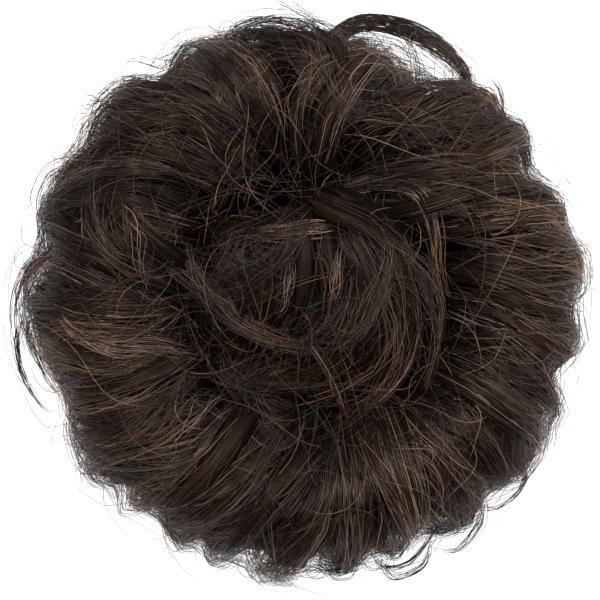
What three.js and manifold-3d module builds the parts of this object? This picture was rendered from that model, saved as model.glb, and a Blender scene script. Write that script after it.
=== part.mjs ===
// A messy top knot hairpiece: an elastic loop in a sewn casing, and three wefts of curled locks
// stitched round it. Rim locks curl down to the surface it lies on, crown locks arch over them, and
// centre locks wind over the middle. Millimetres, +Z up, the origin at the loop's centre on the
// surface that the casing lies on.
import * as THREE from 'three';
import { mergeVertices } from 'three/addons/utils/BufferGeometryUtils.js';
import Module from 'manifold-3d';

const wasm = await Module();
wasm.setup();

// Driving dimensions
const hairReach = 75; // from the loop's centre to the furthest curl
const hairHeight = 58; // from the surface to the top of the locks
const loopOpening = 50; // across the hole in the relaxed loop
const bandThickness = 6; // the elastic's round section
const casingWall = 2;
const weftThickness = 3; // a sewn row of hair
const centreWeftWidth = 8;
const clearance = 0.3; // between neighbouring pieces
const bandRecess = 0.5; // the elastic's lowest point above the surface
const curlFloorGap = 0.6; // the rim curls' lowest point above the surface
const sliver = 0.05; // cuts leave no edge finer than this
const rimLockWidth = 24;
const rimLockCount = 17;
const lockFlatness = 0.5; // a lock's thickness over its width
const ringSides = 28;
const bandSides = 8;
const lockSides = 6;
const lockStations = 6;

// Radii and heights of the sewn parts, from the loop outwards and from the surface up
const casingInner = loopOpening / 2;
const channelWidth = bandThickness + 2 * clearance;
const casingOuter = casingInner + casingWall + channelWidth + casingWall;
const channelHeight = bandRecess + bandThickness + clearance;
const casingHeight = channelHeight + casingWall;
const rimWeftInner = casingOuter + clearance;
const rimWeftOuter = rimWeftInner + weftThickness;
const crownWeftBase = casingHeight + clearance;
const crownWeftTop = crownWeftBase + weftThickness;
const centreWeftBase = crownWeftTop + clearance;
const centreWeftTop = centreWeftBase + weftThickness;
const centreWeftOuter = casingInner + centreWeftWidth;

// Turns are degrees round the loop, anticlockwise from the right. Reaches are shares of hairReach,
// lifts and layers of heights, and widths of hairReach.
const crownColumns = 'riseTurn riseReach crestTurn crestReach tipTurn tipReach lift width'.split(' ');
const crownLocks = [
  [16, 0.5, 8, 0.72, -1, 1.0, 0.94, 0.2],
  [32, 0.5, 22, 0.72, 12, 0.985, 1.0, 0.2],
  [58, 0.42, 33, 0.68, 23, 0.97, 1.05, 0.18],
  [55, 0.54, 43, 0.76, 36, 1.0, 0.96, 0.2],
  [70, 0.52, 57, 0.76, 46, 0.99, 1.0, 0.19],
  [90, 0.46, 81, 0.68, 70, 0.87, 1.04, 0.18],
  [76, 0.6, 86, 0.82, 107, 0.96, 0.9, 0.17],
  [99, 0.46, 107, 0.75, 117, 0.96, 1.03, 0.19],
  [108, 0.46, 122, 0.78, 135, 0.99, 0.95, 0.2],
  [113, 0.44, 131, 0.74, 153, 0.95, 1.0, 0.19],
  [138, 0.41, 147, 0.7, 162, 0.95, 0.92, 0.21],
  [177, 0.4, 160, 0.64, 145, 0.86, 1.06, 0.16],
  [186, 0.37, 171, 0.68, 165, 0.96, 0.96, 0.21],
  [189, 0.36, 184, 0.68, 177, 0.93, 1.0, 0.19],
  [199, 0.37, 195, 0.68, 186, 0.91, 1.02, 0.19],
  [210, 0.38, 204, 0.68, 195, 0.91, 0.97, 0.2],
  [219, 0.4, 212, 0.72, 203, 0.94, 1.0, 0.2],
  [239, 0.41, 227, 0.7, 217, 0.95, 0.97, 0.21],
  [256, 0.41, 242, 0.69, 230, 0.94, 1.02, 0.21],
  [275, 0.41, 257, 0.7, 243, 0.93, 0.99, 0.2],
  [284, 0.42, 272, 0.74, 258, 0.97, 1.03, 0.2],
  [295, 0.43, 287, 0.73, 277, 0.98, 1.0, 0.19],
  [302, 0.44, 297, 0.72, 293, 0.95, 1.04, 0.18],
  [311, 0.46, 311, 0.73, 307, 0.98, 0.95, 0.2],
  [318, 0.48, 321, 0.73, 319, 0.98, 1.0, 0.19],
  [338, 0.52, 336, 0.69, 329, 0.99, 1.05, 0.2],
  [346, 0.53, 349, 0.7, 342, 0.99, 0.96, 0.2],
  [2, 0.52, 357, 0.71, 351, 1.0, 1.0, 0.2],
];

const centreColumns = 'turn1 reach1 turn2 reach2 turn3 reach3 turn4 reach4 layer width'.split(' ');
const centreLocks = [
  [79, 0.32, 36, 0.33, 340, 0.37, 300, 0.44, 0.04, 0.15],
  [50, 0.31, 7, 0.31, 329, 0.31, 280, 0.31, 0.01, 0.18],
  [62, 0.28, 6, 0.24, 318, 0.22, 246, 0.27, -0.01, 0.18],
  [76, 0.27, 357, 0.12, 292, 0.15, 232, 0.3, -0.03, 0.18],
  [92, 0.26, 130, 0.06, 222, 0.11, 222, 0.3, -0.02, 0.17],
  [122, 0.25, 150, 0.15, 196, 0.16, 218, 0.31, -0.01, 0.16],
  [144, 0.37, 125, 0.27, 92, 0.24, 62, 0.27, 0.03, 0.13],
  [165, 0.4, 174, 0.33, 205, 0.24, 236, 0.2, -0.04, 0.15],
  [262, 0.36, 250, 0.36, 236, 0.33, 212, 0.29, -0.1, 0.13],
  [150, 0.36, 165, 0.28, 195, 0.2, 240, 0.16, -0.12, 0.18],
  [215, 0.36, 238, 0.3, 270, 0.26, 310, 0.24, -0.12, 0.18],
];

// A thin lock that stands off the rim in a loop, its ends in the crown locks
const loopColumns = 'turn reach height'.split(' ');
const loopPoints = [
  [88, 0.84, 0.7],
  [78, 0.96, 0.6],
  [66, 0.985, 0.54],
  [55, 0.95, 0.56],
  [49, 0.86, 0.64],
];
const loopWidth = 0.07;

// How far each rim curl strays from an even spacing, in turn degrees, reach share and lift
const rimStray = [
  { turn: 0, reach: 0.96, lift: 1.0 },
  { turn: 2.5, reach: 0.93, lift: 0.88 },
  { turn: -1.5, reach: 0.97, lift: 1.08 },
  { turn: 1.5, reach: 0.91, lift: 0.95 },
  { turn: -2.5, reach: 0.95, lift: 1.04 },
];

// Heights as shares of hairHeight
const crownRise = 0.62;
const crownCrest = 0.85;
const crownTip = 0.5;
const crownCurl = 0.38;
const crownCurlBack = 0.07; // how far a crown lock's end turns back in, as a share of hairReach
const domeTop = 0.93;
const domeDrop = 0.9; // the dome's fall, as a share of the reach squared
const centreTuck = 0.1; // how far a centre lock's end drops below the dome
const rimCrest = 0.5;
const rimTip = 0.25;
const rimCrestReach = 0.73;
const rimCurlBack = 0.14;
const rimSweep = -9; // turn degrees from a rim curl's root to its tip
const loopGap = { turn: 68, spread: 14, pull: 0.09 }; // rim curls kept short below the thin loop

const rowsOf = (columns, rows) =>
  rows.map((row) => Object.fromEntries(columns.map((column, i) => [column, row[i]])));

function polar(turn, radius, height) {
  const angle = THREE.MathUtils.degToRad(turn);
  return new THREE.Vector3(radius * Math.cos(angle), radius * Math.sin(angle), height);
}

// A point given as shares of the hair's reach and height
const share = (turn, reach, height) => polar(turn, reach * hairReach, height * hairHeight);

function toSolid(geometry) {
  const bare = geometry.index ? geometry.toNonIndexed() : geometry.clone();
  bare.deleteAttribute('normal');
  bare.deleteAttribute('uv');
  const merged = mergeVertices(bare, 1e-4);
  return new wasm.Manifold(
    new wasm.Mesh({
      numProp: 3,
      vertProperties: merged.attributes.position.array,
      triVerts: new Uint32Array(merged.index.array),
    }),
  );
}

function toGeometry(solid) {
  const mesh = solid.getMesh();
  return new THREE.BufferGeometry()
    .setAttribute('position', new THREE.BufferAttribute(mesh.vertProperties, 3))
    .setIndex(new THREE.BufferAttribute(mesh.triVerts, 1))
    .toNonIndexed();
}

// A ring with a square section between two radii and two heights
function ring(inner, outer, low, high) {
  const profile = [
    [inner, low],
    [outer, low],
    [outer, high],
    [inner, high],
    [inner, low],
  ].map(([x, y]) => new THREE.Vector2(x, y));
  return new THREE.LatheGeometry(profile, ringSides).rotateX(Math.PI / 2);
}

// A lock's width from root (0) to tip (1), as a share of its widest: gathered at the root, full from
// fullFrom to fullTo, and narrowed to the tip
const rootWidth = 0.45;
const tipWidth = 0.45;
const fullFrom = 0.4;
const fullTo = 0.6;

function taper(along) {
  const { lerp, smoothstep } = THREE.MathUtils;
  const fromRoot = lerp(rootWidth, 1, smoothstep(along, 0, fullFrom));
  const toTip = lerp(1, tipWidth, smoothstep(along, fullTo, 1));
  return fromRoot * toTip;
}

// Side vectors across a lock, level at its crest and carried from there to both ends without twist
function sideVectors(tangents, crestStation) {
  const sides = [];
  const up = new THREE.Vector3(0, 0, 1);
  sides[crestStation] = up.cross(tangents[crestStation]).normalize();
  for (const step of [1, -1]) {
    for (let i = crestStation + step; i >= 0 && i < tangents.length; i += step) {
      const carried = sides[i - step].clone();
      sides[i] = carried.addScaledVector(tangents[i], -carried.dot(tangents[i])).normalize();
    }
  }
  return sides;
}

// One lock: a closed flat tube along the points, wider by grow all round
function lock({ points, width, crestAt }, grow) {
  const curve = new THREE.CatmullRomCurve3(points, false, 'centripetal');
  const stations = Array.from({ length: lockStations + 1 }, (_, i) => i / lockStations);
  const centres = stations.map((s) => curve.getPointAt(s));
  const tangents = stations.map((s) => curve.getTangentAt(s));
  const sides = sideVectors(tangents, Math.round(crestAt * lockStations));
  const tube = new THREE.CylinderGeometry(1, 1, 1, lockSides, lockStations);
  const place = tube.getAttribute('position');
  for (let i = 0; i < place.count; i += 1) {
    const station = Math.round((0.5 - place.getY(i)) * lockStations);
    const across = (width / 2) * taper(stations[station]) + grow;
    const through = (width / 2) * lockFlatness * taper(stations[station]) + grow;
    const face = new THREE.Vector3().crossVectors(tangents[station], sides[station]);
    const end = station === 0 ? -grow : station === lockStations ? grow : 0;
    const point = centres[station]
      .clone()
      .addScaledVector(sides[station], place.getX(i) * across)
      .addScaledVector(face, place.getZ(i) * through)
      .addScaledVector(tangents[station], end);
    place.setXYZ(i, point.x, point.y, point.z);
  }
  return toSolid(tube);
}

function rimRoutes() {
  const thickness = rimLockWidth * lockFlatness;
  const curlHeight = curlFloorGap + thickness / 2;
  return Array.from({ length: rimLockCount }, (_, i) => {
    const stray = rimStray[i % rimStray.length];
    const turn = (360 / rimLockCount) * (i + 0.5) + stray.turn;
    const tipTurn = turn + rimSweep;
    const underLoop = Math.abs(tipTurn - loopGap.turn) < loopGap.spread;
    const reach = stray.reach - (underLoop ? loopGap.pull : 0);
    return {
      points: [
        polar(turn, rimWeftOuter, casingHeight - thickness / 4),
        share(turn + rimSweep / 2, rimCrestReach, rimCrest * stray.lift),
        share(tipTurn, reach, rimTip * stray.lift),
        polar(tipTurn, (reach - rimCurlBack / 3) * hairReach, curlHeight),
        polar(tipTurn, (reach - rimCurlBack) * hairReach, curlHeight),
      ],
      width: rimLockWidth,
      crestAt: 0.4,
    };
  });
}

function crownRoutes() {
  const rootRadius = (centreWeftOuter + rimWeftOuter) / 2;
  const locks = rowsOf(crownColumns, crownLocks).map((row) => ({
    points: [
      polar(row.riseTurn, rootRadius, crownWeftTop - weftThickness / 2),
      share(row.riseTurn, row.riseReach, crownRise * row.lift),
      share(row.crestTurn, row.crestReach, crownCrest * row.lift),
      share(row.tipTurn, row.tipReach, crownTip * row.lift),
      share(row.tipTurn, row.tipReach - crownCurlBack, crownCurl * row.lift),
    ],
    width: row.width * hairReach,
    crestAt: 0.55,
  }));
  const loop = rowsOf(loopColumns, loopPoints);
  locks.push({
    points: loop.map((row) => share(row.turn, row.reach, row.height)),
    width: loopWidth * hairReach,
    crestAt: 0.5,
  });
  return locks;
}

// The height share of the dome that the centre locks wind over
const dome = (reach) => domeTop - domeDrop * reach * reach;

function centreRoutes() {
  const rootRadius = (casingInner + centreWeftOuter) / 2;
  return rowsOf(centreColumns, centreLocks).map((row) => ({
    points: [
      polar(row.turn1, rootRadius, centreWeftTop - weftThickness / 2),
      share(row.turn1, row.reach1, dome(row.reach1) + row.layer),
      share(row.turn2, row.reach2, dome(row.reach2) + row.layer),
      share(row.turn3, row.reach3, dome(row.reach3) + row.layer),
      share(row.turn4, row.reach4, dome(row.reach4) + row.layer - centreTuck),
    ],
    width: row.width * hairReach,
    crestAt: 0.6,
  }));
}

// The largest body of a solid: a cut can leave crumbs of a lock's edge behind
function largest(solid) {
  return solid.decompose().reduce((a, b) => (a.volume() > b.volume() ? a : b));
}

// A weft with its locks, less the wefts below it and the clearance round them
function weft(base, routes, below) {
  const whole = routes.reduce((sum, route) => sum.add(lock(route, 0)), toSolid(base));
  return largest(below.reduce((rest, cutter) => rest.subtract(cutter), whole));
}

// A weft cut by other locks, without the slivers that the cuts leave along their edges
function trimmedWeft(base, routes, below) {
  return weft(base, routes, below).simplify(sliver);
}

const grown = (routes) =>
  routes.map((route) => lock(route, clearance)).reduce((sum, next) => sum.add(next));

function elasticBand() {
  const middle = casingInner + casingWall + clearance + bandThickness / 2;
  return new THREE.TorusGeometry(middle, bandThickness / 2, bandSides, ringSides).translate(
    0,
    0,
    bandRecess + bandThickness / 2,
  );
}

function bandCasing() {
  const channel = ring(
    casingInner + casingWall,
    casingOuter - casingWall,
    -casingWall,
    channelHeight,
  );
  return toSolid(ring(casingInner, casingOuter, 0, casingHeight)).subtract(toSolid(channel));
}

const hairColour = '#33261f';
const materials = {
  hair: new THREE.MeshStandardMaterial({ color: hairColour, roughness: 0.45 }),
  casing: new THREE.MeshStandardMaterial({ color: '#1d1714', roughness: 0.8 }),
  elastic: new THREE.MeshStandardMaterial({ color: '#141212', roughness: 0.7 }),
};

const hairpiece = new THREE.Group();

function addPiece(name, geometry, material) {
  const mesh = new THREE.Mesh(geometry, material);
  mesh.name = name;
  hairpiece.add(mesh);
}

const rimBase = ring(rimWeftInner, rimWeftOuter, 0, casingHeight);
const crownBase = ring(casingInner, rimWeftOuter, crownWeftBase, crownWeftTop);
const centreBase = ring(casingInner, centreWeftOuter, centreWeftBase, centreWeftTop);
const crownBaseRoom = toSolid(
  ring(
    casingInner - clearance,
    rimWeftOuter + clearance,
    crownWeftBase - clearance,
    crownWeftTop + clearance,
  ),
);
const centreBaseRoom = toSolid(
  ring(
    casingInner - clearance,
    centreWeftOuter + clearance,
    centreWeftBase - clearance,
    centreWeftTop + clearance,
  ),
);
const rimRoom = grown(rimRoutes());
const crownRoom = grown(crownRoutes());

addPiece('elastic_band', elasticBand(), materials.elastic);
addPiece('band_casing', toGeometry(bandCasing()), materials.casing);
addPiece(
  'rim_locks',
  toGeometry(weft(rimBase, rimRoutes(), [crownBaseRoom])),
  materials.hair,
);
addPiece(
  'crown_locks',
  toGeometry(trimmedWeft(crownBase, crownRoutes(), [rimRoom, centreBaseRoom])),
  materials.hair,
);
addPiece(
  'centre_locks',
  toGeometry(trimmedWeft(centreBase, centreRoutes(), [crownRoom, rimRoom])),
  materials.hair,
);

export default hairpiece;
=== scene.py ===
"""A messy top knot hairpiece: locks of false hair on wefts sewn round an elastic loop in a cloth casing.

Metres, +Z up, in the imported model's frame: the origin is the loop's centre, on the surface it lies on.
"""

import math

import bpy
import numpy as np
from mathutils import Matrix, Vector


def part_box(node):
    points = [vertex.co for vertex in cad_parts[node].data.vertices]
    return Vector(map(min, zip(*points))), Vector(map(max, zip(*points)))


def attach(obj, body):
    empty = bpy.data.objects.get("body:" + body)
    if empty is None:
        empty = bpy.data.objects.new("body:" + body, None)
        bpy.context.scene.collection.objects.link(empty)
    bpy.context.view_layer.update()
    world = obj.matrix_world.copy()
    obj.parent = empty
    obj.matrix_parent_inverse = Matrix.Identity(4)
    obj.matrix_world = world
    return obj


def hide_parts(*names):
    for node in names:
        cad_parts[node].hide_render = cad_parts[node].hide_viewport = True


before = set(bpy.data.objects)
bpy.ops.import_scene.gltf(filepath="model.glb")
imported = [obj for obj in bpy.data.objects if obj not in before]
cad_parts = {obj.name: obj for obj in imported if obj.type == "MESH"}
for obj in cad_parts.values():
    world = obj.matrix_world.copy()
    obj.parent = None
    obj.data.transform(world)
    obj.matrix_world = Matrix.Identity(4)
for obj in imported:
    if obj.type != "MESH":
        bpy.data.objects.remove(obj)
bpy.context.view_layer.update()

MM = 0.001
TAU = 2 * math.pi
GOLDEN_ANGLE = math.pi * (3 - math.sqrt(5))
rng = np.random.default_rng(20)

# The driving dimensions that the solids were made from
HAIR_REACH = 75 * MM
HAIR_HEIGHT = 58 * MM
RIM_LOCK_COUNT = 17
RIM_LOCK_WIDTH = 24 * MM
LOCK_FLATNESS = 0.5
CURL_FLOOR_GAP = 0.6 * MM
BAND_THICKNESS = 6 * MM
CLEARANCE = 0.3 * MM
CASING_WALL = 2 * MM

# Radii and heights of the sewn parts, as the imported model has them
_, casing_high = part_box("band_casing")
centre_low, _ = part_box("centre_locks")
elastic_low, elastic_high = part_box("elastic_band")
CASING_OUTER = casing_high.x
CASING_HEIGHT = casing_high.z
CASING_INNER = CASING_OUTER - 2 * CASING_WALL - BAND_THICKNESS - 2 * CLEARANCE
WEFT_THICKNESS = 3 * MM
RIM_WEFT_OUTER = CASING_OUTER + CLEARANCE + WEFT_THICKNESS
CROWN_WEFT_TOP = CASING_HEIGHT + CLEARANCE + WEFT_THICKNESS
CENTRE_WEFT_BASE = centre_low.z
CENTRE_WEFT_TOP = CENTRE_WEFT_BASE + WEFT_THICKNESS
CENTRE_WEFT_OUTER = CASING_INNER + 8 * MM

# Turns are degrees round the loop, anticlockwise from the right. Reaches are shares of HAIR_REACH,
# lifts and layers of heights, and widths of HAIR_REACH. Tone is how light the lock's hair is.
CROWN_COLUMNS = "rise_turn rise_reach crest_turn crest_reach tip_turn tip_reach lift width tone".split()
CROWN_LOCKS = [
    [16, 0.5, 8, 0.72, -1, 1.0, 0.94, 0.2, 0.55],
    [32, 0.5, 22, 0.72, 12, 0.985, 1.0, 0.2, 0.6],
    [58, 0.42, 33, 0.68, 23, 0.97, 1.05, 0.18, 0.55],
    [55, 0.54, 43, 0.76, 36, 1.0, 0.96, 0.2, 0.4],
    [70, 0.52, 57, 0.76, 46, 0.99, 1.0, 0.19, 0.35],
    [90, 0.46, 81, 0.68, 70, 0.87, 1.04, 0.18, 0.35],
    [76, 0.6, 86, 0.82, 107, 0.96, 0.9, 0.17, 0.45],
    [99, 0.46, 107, 0.75, 117, 0.96, 1.03, 0.19, 0.4],
    [108, 0.46, 122, 0.78, 135, 0.99, 0.95, 0.2, 0.4],
    [113, 0.44, 131, 0.74, 153, 0.95, 1.0, 0.19, 0.5],
    [138, 0.41, 147, 0.7, 162, 0.95, 0.92, 0.21, 0.4],
    [177, 0.4, 160, 0.64, 145, 0.86, 1.06, 0.16, 0.45],
    [186, 0.37, 171, 0.68, 165, 0.96, 0.96, 0.21, 0.4],
    [189, 0.36, 184, 0.68, 177, 0.93, 1.0, 0.19, 0.35],
    [199, 0.37, 195, 0.68, 186, 0.91, 1.02, 0.19, 0.5],
    [210, 0.38, 204, 0.68, 195, 0.91, 0.97, 0.2, 0.5],
    [219, 0.4, 212, 0.72, 203, 0.94, 1.0, 0.2, 0.45],
    [239, 0.41, 227, 0.7, 217, 0.95, 0.97, 0.21, 0.5],
    [256, 0.41, 242, 0.69, 230, 0.94, 1.02, 0.21, 0.55],
    [275, 0.41, 257, 0.7, 243, 0.93, 0.99, 0.2, 0.5],
    [284, 0.42, 272, 0.74, 258, 0.97, 1.03, 0.2, 0.4],
    [295, 0.43, 287, 0.73, 277, 0.98, 1.0, 0.19, 0.45],
    [302, 0.44, 297, 0.72, 293, 0.95, 1.04, 0.18, 0.5],
    [311, 0.46, 311, 0.73, 307, 0.98, 0.95, 0.2, 0.45],
    [318, 0.48, 321, 0.73, 319, 0.98, 1.0, 0.19, 0.4],
    [338, 0.52, 336, 0.69, 329, 0.99, 1.05, 0.2, 0.6],
    [346, 0.53, 349, 0.7, 342, 0.99, 0.96, 0.2, 0.55],
    [2, 0.52, 357, 0.71, 351, 1.0, 1.0, 0.2, 0.6],
]

CENTRE_COLUMNS = "turn1 reach1 turn2 reach2 turn3 reach3 turn4 reach4 layer width tone".split()
# The centre locks' tones are kept low, as painted shade of the recessed middle
CENTRE_LOCKS = [
    [79, 0.32, 36, 0.33, 340, 0.37, 300, 0.44, 0.04, 0.15, 0.4],
    [50, 0.31, 7, 0.31, 329, 0.31, 280, 0.31, 0.01, 0.18, 0.1],
    [62, 0.28, 6, 0.24, 318, 0.22, 246, 0.27, -0.01, 0.18, 0.1],
    [76, 0.27, 357, 0.12, 292, 0.15, 232, 0.3, -0.03, 0.18, 0.05],
    [92, 0.26, 130, 0.06, 222, 0.11, 222, 0.3, -0.02, 0.17, 0.1],
    [122, 0.25, 150, 0.15, 196, 0.16, 218, 0.31, -0.01, 0.16, 0.2],
    [144, 0.37, 125, 0.27, 92, 0.24, 62, 0.27, 0.03, 0.13, 0.3],
    [165, 0.4, 174, 0.33, 205, 0.24, 236, 0.2, -0.04, 0.15, 0.1],
    [262, 0.36, 250, 0.36, 236, 0.33, 212, 0.29, -0.1, 0.13, 0.05],
    [150, 0.36, 165, 0.28, 195, 0.2, 240, 0.16, -0.12, 0.18, 0.05],
    [215, 0.36, 238, 0.3, 270, 0.26, 310, 0.24, -0.12, 0.18, 0.05],
]

# The last centre locks are very dark hair that only paints the shade in the pockets between the others
CENTRE_SHADE_FILLERS = 2

# The thin lock that stands off the rim in a loop
LOOP_COLUMNS = "turn reach height".split()
LOOP_POINTS = [
    [88, 0.84, 0.7],
    [78, 0.96, 0.6],
    [66, 0.985, 0.54],
    [55, 0.95, 0.56],
    [49, 0.86, 0.64],
]
LOOP_WIDTH = 0.066

# Single locks and loose loops that stand out. How far their strands stray is the spread. Each point is x, y
# and the lift over the hair around it, in millimetres from the loop's centre.
GUIDE_COLUMNS = "width strands tone spread points".split()
# The light tones of the brightest of these locks are partly lighter hair and partly painted highlight where
# the locks catch the light
GUIDES = {
    "upright right of the swirl": [5, 36, 0.8, 1, [
        (4.4, 24.4, 1), (17.4, 28.9, 2), (29.1, 26.8, 4), (33, 17.2, 3), (34.3, 7.3, 1), (36.9, -0.5, -4)]],
    "band above the swirl": [4, 30, 0.85, 1, [
        (-21.1, 17.7, -2), (-6.8, 16.4, 1.5), (7.5, 17.7, 1), (12.7, 16, -1)]],
    "outside of the swirl": [6, 44, 0.8, 1, [
        (4.4, 22.9, 0), (17.4, 17.2, 2), (25.7, 2.1, 2), (27, -10.1, 1), (22.6, -21.3, 0),
        (13.5, -30.9, -4)]],
    "strand over the lower swirl": [3.5, 13, 0.85, 1, [
        (-0.8, -7, 1), (7, -18.7, 2), (10.9, -29.1, 1), (13, -33, -1)]],
    "crossing from the left": [6, 32, 0.55, 1, [
        (-39.8, 15.1, 1), (-34.6, 9.4, 2), (-25, 2.1, 0), (-15.1, -7, 0), (-0.8, -12.2, 1),
        (10.9, -12.2, -1)]],
    "crossing high on the left": [5, 24, 0.65, 1, [
        (-26.8, 30.7, 0), (-42.4, 33.3, 3), (-59.3, 29.4, 2), (-64.5, 25.5, -2)]],
    "bright lock on the left": [5, 30, 0.9, 1, [
        (-22.9, -14.8, -2), (-35.9, -12.7, 1), (-47.6, -12.2, 2), (-58, -8.3, 1), (-63.2, -3.1, -3)]],
    "sheet above the swirl": [8, 44, 0.65, 1, [
        (4.4, 25.5, 0), (14.8, 29.1, 3), (25.2, 31.2, 4), (38.2, 33.3, 3), (56.4, 35.9, 0)]],
    "inside of the swirl": [3, 14, 0.85, 1, [(10.1, 15.9, 0), (8.3, 4.7, 1.5), (7, -4.4, 0.5)]],
    "left inside of the swirl": [4, 18, 0.8, 1, [(-3.4, 12.1, 0), (-4.2, 2.5, 1), (-8.6, -6.7, 0)]],
    "crook on the left": [4, 20, 0.8, 1, [
        (-29.4, 16.4, 1), (-27.6, 8.6, 2), (-23.7, 0.8, 1), (-18.5, -3.1, 0), (-15.1, -9.6, -1)]],
    "fall from the top": [6, 28, 0.6, 1, [
        (-12, 42, 0), (-17.2, 33.3, 1), (-20.3, 26.8, 1), (-21.6, 19, -1)]],
    "bright lock low on the left": [4, 20, 0.8, 1, [
        (-10.7, -30.4, 0), (-18.5, -34.3, 2), (-25, -39.5, 1), (-33, -47, 0)]],
    "lock low on the right": [5, 28, 0.7, 1, [
        (19.2, -29.6, 0), (21.3, -39.5, 2), (23.9, -52.5, 1), (21.3, -66, -3)]],
    "tuft at the bottom": [7, 40, 0.65, 1, [
        (9.6, -34.3, 0), (10.9, -47.3, 2), (12.2, -60.3, 1), (12.7, -71.5, -7)]],
    "tuft at the far left": [5, 26, 0.4, 1, [
        (-56, 0.5, -1), (-63.5, -0.6, -2), (-69.2, -1, -4), (-73.1, -2.2, -6)]],
    "outer left loop": [2.4, 10, 0.3, 0.5, [
        (-60, 9.9, -6), (-70, 9.5, -6), (-75, -2.2, -7), (-73.1, -18.6, -8), (-68.1, -27.7, -10)]],
    "inner left loop": [2, 10, 0.3, 0.5, [
        (-71.9, -4.4, -8), (-74.2, -9.8, -9), (-72.7, -21.2, -10), (-66.2, -30, -12), (-64.7, -29.6, -14)]],
    "left loop's chord": [1.6, 13, 0.3, 0.5, [
        (-71.5, -4.8, -7), (-70.4, -10.9, -8), (-67.3, -17.8, -8), (-62.4, -25.6, -9)]],
    "lower right loop": [1.6, 13, 0.25, 0.5, [
        (48.6, -36.9, -3), (57.1, -44.7, -6), (55.6, -51, -8), (50.2, -54.9, -9), (44.9, -54.7, -10)]],
    "low right loop": [3, 14, 0.4, 0.5, [
        (46.4, -50.7, -4), (45.6, -58.2, -6), (40.3, -65.8, -8), (33.8, -65.4, -10)]],
    "bottom inner loop": [1.6, 13, 0.25, 0.5, [
        (34.8, -58, -4), (27, -68.8, -7), (20.5, -69.6, -9), (17.4, -64.6, -10)]],
    "mesh under the top loop": [9, 24, 0.45, 1, [
        (2.1, 66, -3), (11.2, 64.5, -5), (22.6, 61.9, -6), (34.1, 56.7, -5), (39.5, 50.8, -3)]],
    "bottom outer loop": [1.6, 13, 0.15, 0.5, [
        (33.4, -62.2, -6), (30.8, -70, -8), (24.3, -72.7, -9), (19, -65.4, -10)]],
}

# How far each rim lock strays from an even spacing, with its reach, lift and tone
RIM_STRAY_COLUMNS = "turn reach lift tone".split()
RIM_STRAY = [
    [0, 0.96, 1.0, 0.55],
    [2.5, 0.93, 0.88, 0.45],
    [-1.5, 0.97, 1.08, 0.6],
    [1.5, 0.91, 0.95, 0.4],
    [-2.5, 0.95, 1.04, 0.5],
]

# Heights as shares of HAIR_HEIGHT, reaches of HAIR_REACH, and turns in degrees
CROWN_RISE = 0.62
CROWN_CREST = 0.85
CROWN_TIP = 0.5
CROWN_CURL = 0.38
CROWN_CURL_BACK = 0.07
DOME_TOP = 0.93
DOME_DROP = 0.9
CENTRE_TUCK = 0.1
RIM_CREST = 0.5
RIM_TIP = 0.25
RIM_CREST_REACH = 0.73
RIM_CURL_BACK = 0.14
RIM_SWEEP = -9
LOOP_GAP_TURN = 68
LOOP_GAP_SPREAD = 14
LOOP_GAP_PULL = 0.09

# About how high the hair stands at distances from the loop's centre, both in millimetres
COVER_RADII = [0, 18, 26, 33, 44, 54, 64, 72, 80]
COVER_HEIGHTS = [55, 53, 49, 46, 52, 54, 47, 36, 22]

# The outline seen from above: rounded lobes with notches between them. Each notch has its turn, how far it
# spreads to each side, both in degrees, and how far out the hair reaches in it, in millimetres. The first
# two are wide and shallow, and flatten the top and the bottom.
LOBE_REACH = 73 * MM
NOTCH_COLUMNS = "turn spread reach".split()
NOTCHES = [
    [92, 42, 70],
    [272, 30, 71.5],
    [86, 9, 68.5],
    [59, 15, 64],
    [42, 7, 70],
    [29, 14, 64.5],
    [15, 8, 67],
    [-4, 8, 69],
    [-17, 10, 65],
    [-27, 7, 69.5],
    [-47, 9, 67.5],
    [-63, 13, 65],
    [-75, 9, 66.5],
    [-88, 8, 68],
    [256, 8, 67],
    [247, 6, 67],
    [236, 12, 65],
    [225, 9, 65],
    [201, 24, 64],
    [169, 11, 63.5],
    [145, 11, 66],
    [122, 9, 66],
    [106, 7, 70],
]

# Hair that comes nearer to the outline than the margin keeps only a share of its way from there on, and
# strands differ by the stray in where that starts
OUTLINE_MARGIN = 3 * MM
OUTLINE_SHARE = 0.34
OUTLINE_STRAY = 0.9 * MM

# No arc ends in a notch that spreads wider than this, and an arc's ends lie this far inside the outline
WIDE_NOTCH = 25
ARC_DEPTH = 11 * MM

# How finely the hair is made
ROUTE_STEPS = 49
HOOK_STEPS = 20

# Cores taper over a share of their length at the tip, and narrow towards an inset inside the outline.
# The ends of single locks sink into the hair, and no hair is nearer to the floor than the gap.
CORE_TAPER = 0.25
CORE_INSET = 2 * MM
CORE_NARROWING = 4 * MM
GUIDE_SINK = 4 * MM
FLOOR_GAP = 0.4 * MM

# How the clumps of each kind of lock lie and end. A clump leaves its lock at turn_at, a share of its
# length, then turns through the hook seen from above and ends at the slope fall. The hook's length, and
# how far a clump waves, drifts aside and lifts, are in millimetres. The folded share of clumps bends down
# over the rim instead.
STYLE_COLUMNS = "clumps spread turn_at hook hook_length fall wave drift lift folded".split()
STYLES = {
    "rim": [8, 1.42, 0.78, 2.7, 17, 0.2, 1.5, 3.4, 1.0, 0.45],
    "crown": [6, 1.05, 0.76, 2.9, 26, -0.6, 2.4, 3.4, 1.9, 0.5],
    "centre": [6, 1.05, 0.92, 0.5, 8, -0.6, 0.8, 1.5, 0.8, 0],
}

# A folded clump's slope at its end, its shares of the other clumps' hook and length, and the share of a
# clump's length that its core has, folded and not
FOLD_SLOPE = -2.5
FOLD_HOOK = 0.3
FOLD_LENGTH = 0.65
FOLDED_CORE_END = 0.96
CORE_END = 0.8

# The share of hooks that turn down the picture, as most do
DOWNWARD_SHARE = 0.88

# The share of bright strands in a clump, and how much lighter than the lock they, others and wisps are
BRIGHT_SHARE = 0.08
BRIGHT_TONE = 0.45
OTHER_TONE = -0.06
WISP_TONE = 0.03

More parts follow.
